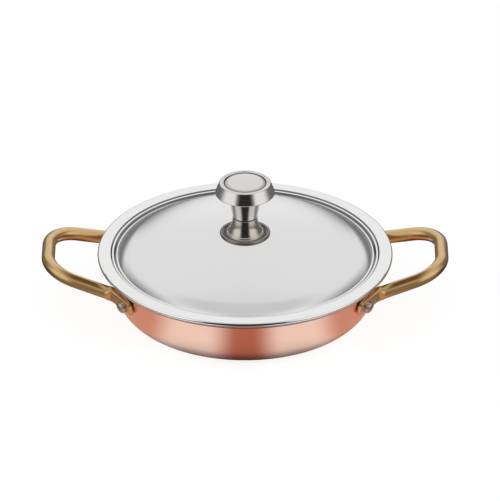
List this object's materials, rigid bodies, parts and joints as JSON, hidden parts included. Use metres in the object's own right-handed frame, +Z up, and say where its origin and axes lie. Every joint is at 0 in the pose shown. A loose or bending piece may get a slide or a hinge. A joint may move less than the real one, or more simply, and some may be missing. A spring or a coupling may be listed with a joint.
{
  "type": "shallow pan with lid",
  "caption": "Shallow round copper-clad pan with riveted brass loop handles and a lift-off steel lid with a turned knob, for cooking and serving.",
  "frame": {"origin": "centre of the pan's flat base, on the surface it stands on", "axes": "+Z up along the pan's axis, +X from the left handle to the right handle, +Y to the back"},
  "size_m": [0.2532, 0.184, 0.0875],
  "materials": {
    "copper": null,
    "core_aluminium": "cut edge",
    "liner_steel": "satin",
    "handle_brass": "satin brass rod",
    "rivet_steel": "satin",
    "lid_steel": "polished stainless",
    "knob_steel": "turned and polished stainless",
    "fastener_steel": "plain"
  },
  "bodies": {
    "pan": {"copper_shell": "copper", "aluminium_core": "core_aluminium", "steel_liner": "liner_steel", "handle_left": "handle_brass", "handle_right": "handle_brass", "rivet_left_front": "rivet_steel", "rivet_left_back": "rivet_steel", "rivet_right_front": "rivet_steel", "rivet_right_back": "rivet_steel"},
    "lid": {"lid_plate": "lid_steel", "knob_rosette": "knob_steel", "knob_foot": "knob_steel", "knob_head": "knob_steel", "knob_top_disc": "knob_steel", "knob_screw": "fastener_steel", "screw_washer": "fastener_steel"}
  },
  "joints": [
    {"name": "lid_lift", "type": "slide", "parent": "pan", "child": "lid", "axis": [0, 0, 1], "range_m": [0, 0.12]}
  ]
}
